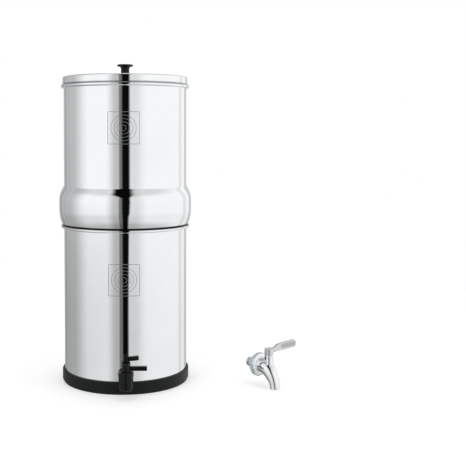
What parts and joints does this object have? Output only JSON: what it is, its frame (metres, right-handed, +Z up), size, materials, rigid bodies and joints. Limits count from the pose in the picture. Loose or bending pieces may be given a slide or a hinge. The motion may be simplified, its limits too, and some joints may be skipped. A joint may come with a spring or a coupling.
{
  "type": "gravity water filter with tap",
  "caption": "Two-chamber stainless steel gravity water filter with lid, knob, ceramic candles, rubber base ring and a small lever tap, and a loose steel lever tap standing beside it.",
  "frame": {"origin": "middle of the base ring's foot, on the surface that the filter stands on", "axes": "+Z up along the chambers' axis, -Y towards the front, where the fitted tap is, +X to the right of someone facing the tap"},
  "size_m": [0.39, 0.25, 0.5211],
  "materials": {
    "polished_steel": "mirror polished",
    "satin_steel": "satin",
    "black_plastic": "gloss",
    "base_rubber": "semi-matte",
    "ceramic": "matte, porous",
    "candle_plastic": "matte",
    "silicone": "translucent, satin",
    "seal_rubber": "matte"
  },
  "bodies": {
    "lower_unit": {"base_ring": "base_rubber", "lower_chamber": "polished_steel", "tap_body": "black_plastic", "tap_outer_washer": "seal_rubber", "tap_inner_washer": "seal_rubber", "tap_nut": "black_plastic"},
    "upper_unit": {"upper_chamber": "polished_steel", "candle_shell_1": "ceramic", "candle_shell_2": "ceramic", "candle_shell_3": "ceramic", "candle_shell_4": "ceramic", "candle_base_1": "candle_plastic", "candle_base_2": "candle_plastic", "candle_base_3": "candle_plastic", "candle_base_4": "candle_plastic", "candle_seals": "seal_rubber", "candle_wing_nuts": "satin_steel"},
    "lid_unit": {"lid": "polished_steel", "lid_knob": "black_plastic", "knob_washer": "satin_steel", "knob_screw": "satin_steel"},
    "tap_lever_unit": {"tap_lever": "black_plastic", "tap_plug": "black_plastic", "tap_plug_seal": "seal_rubber"},
    "loose_tap_unit": {"steel_tap_body": "polished_steel", "steel_tap_washer": "silicone", "steel_tap_flange": "polished_steel", "steel_tap_inner_washer": "seal_rubber", "steel_tap_nut": "satin_steel"},
    "loose_lever_unit": {"steel_tap_lever": "satin_steel", "steel_tap_spindle": "satin_steel", "steel_tap_spindle_seal": "seal_rubber", "steel_tap_cap_screw": "satin_steel", "steel_tap_stop_pin": "satin_steel"}
  },
  "joints": [
    {"name": "upper_lift", "type": "slide", "parent": "lower_unit", "child": "upper_unit", "axis": [0, 0, 1], "range_m": [0, 0.12]},
    {"name": "lid_lift", "type": "slide", "parent": "upper_unit", "child": "lid_unit", "axis": [0, 0, 1], "range_m": [0, 0.1]},
    {"name": "tap_turn", "type": "hinge", "parent": "lower_unit", "child": "tap_lever_unit", "pos_m": [0, -0.129, 0.0443], "axis": [0, 0, -1], "range_deg": [0, 90]},
    {"name": "loose_lift", "type": "slide", "parent": "lower_unit", "child": "loose_tap_unit", "axis": [0, 0, 1], "range_m": [0, 0.15]},
    {"name": "loose_turn", "type": "hinge", "parent": "loose_tap_unit", "child": "loose_lever_unit", "pos_m": [0.22965, -0.0715, 0.0514], "axis": [0, 0, -1], "range_deg": [0, 90]}
  ]
}
